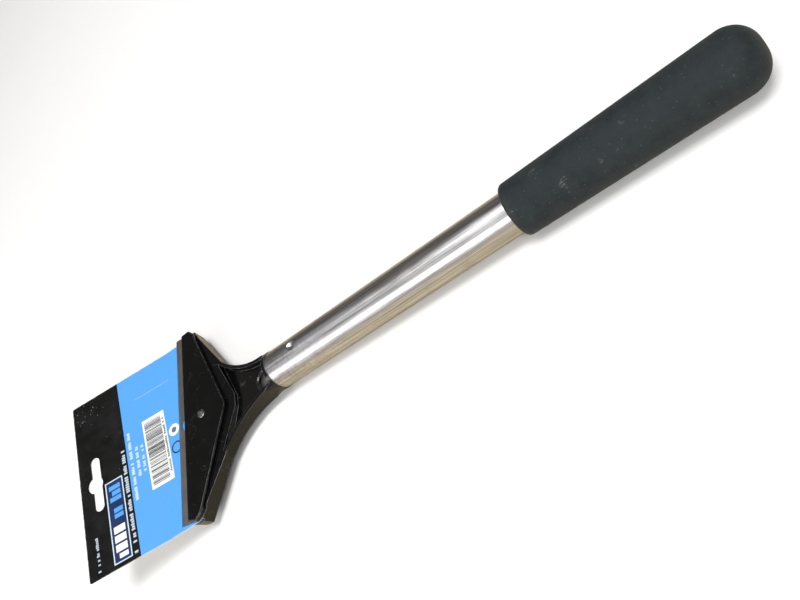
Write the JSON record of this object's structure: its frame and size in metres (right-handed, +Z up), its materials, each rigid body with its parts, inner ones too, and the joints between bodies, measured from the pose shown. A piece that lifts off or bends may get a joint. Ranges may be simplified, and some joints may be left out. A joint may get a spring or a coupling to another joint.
{
  "type": "long-handled blade scraper",
  "caption": "Scraper with a round steel tube handle, rubber grip and a wide cast head; a screwed clamp plate holds a reversible straight blade and its printed hang card.",
  "frame": {"origin": "on the floor, under the centre of the overall box", "axes": "+X from the blade towards the grip, +Y across the blade, +Z up through the clamp plate as the tool lies on its back"},
  "size_m": [0.3622, 0.1112, 0.0302],
  "materials": {
    "casting_black": "gloss black lacquer over die-cast aluminium",
    "plate_black": "gloss black lacquer",
    "blade_steel": "dark tempered steel, ground edges",
    "zinc_steel": "bright zinc plating",
    "tube_plated": "bright plating over drawn steel, fine lengthwise streaks",
    "plug_plastic": "plain black polyethylene",
    "grip_rubber": "matt charcoal, fine moulded texture",
    "card_print": "coated board, blue at the blade and black at the hang end"
  },
  "bodies": {
    "handle": {"head_casting": "casting_black", "handle_tube": "tube_plated", "grip_sleeve": "grip_rubber", "tube_plug": "plug_plastic", "flat_washer": "zinc_steel", "spring_washer": "zinc_steel"},
    "screw": {"clamp_screw": "zinc_steel"},
    "clamp": {"clamp_plate": "plate_black"},
    "blade": {"blade": "blade_steel"},
    "card": {"hang_card": "card_print"}
  },
  "joints": [
    {"name": "screw_turn", "type": "hinge", "parent": "handle", "child": "screw", "pos_m": [-0.09992, 0.00453, 0.01111], "axis": [-0.1757, 0, -0.9844], "range_deg": [0, 720]},
    {"name": "clamp_lift", "type": "slide", "parent": "handle", "child": "clamp", "axis": [0.1757, 0, 0.9844], "range_m": [0, 0.0014]},
    {"name": "blade_pull", "type": "slide", "parent": "handle", "child": "blade", "axis": [-0.9844, 0, 0.1757], "range_m": [0, 0.0065]},
    {"name": "card_pull", "type": "slide", "parent": "handle", "child": "card", "axis": [-0.9844, 0, 0.1757], "range_m": [0, 0.0125]}
  ],
  "couplings": [
    {"joint": "screw_turn", "follows": "clamp_lift", "rad_per_m": 8976}
  ]
}
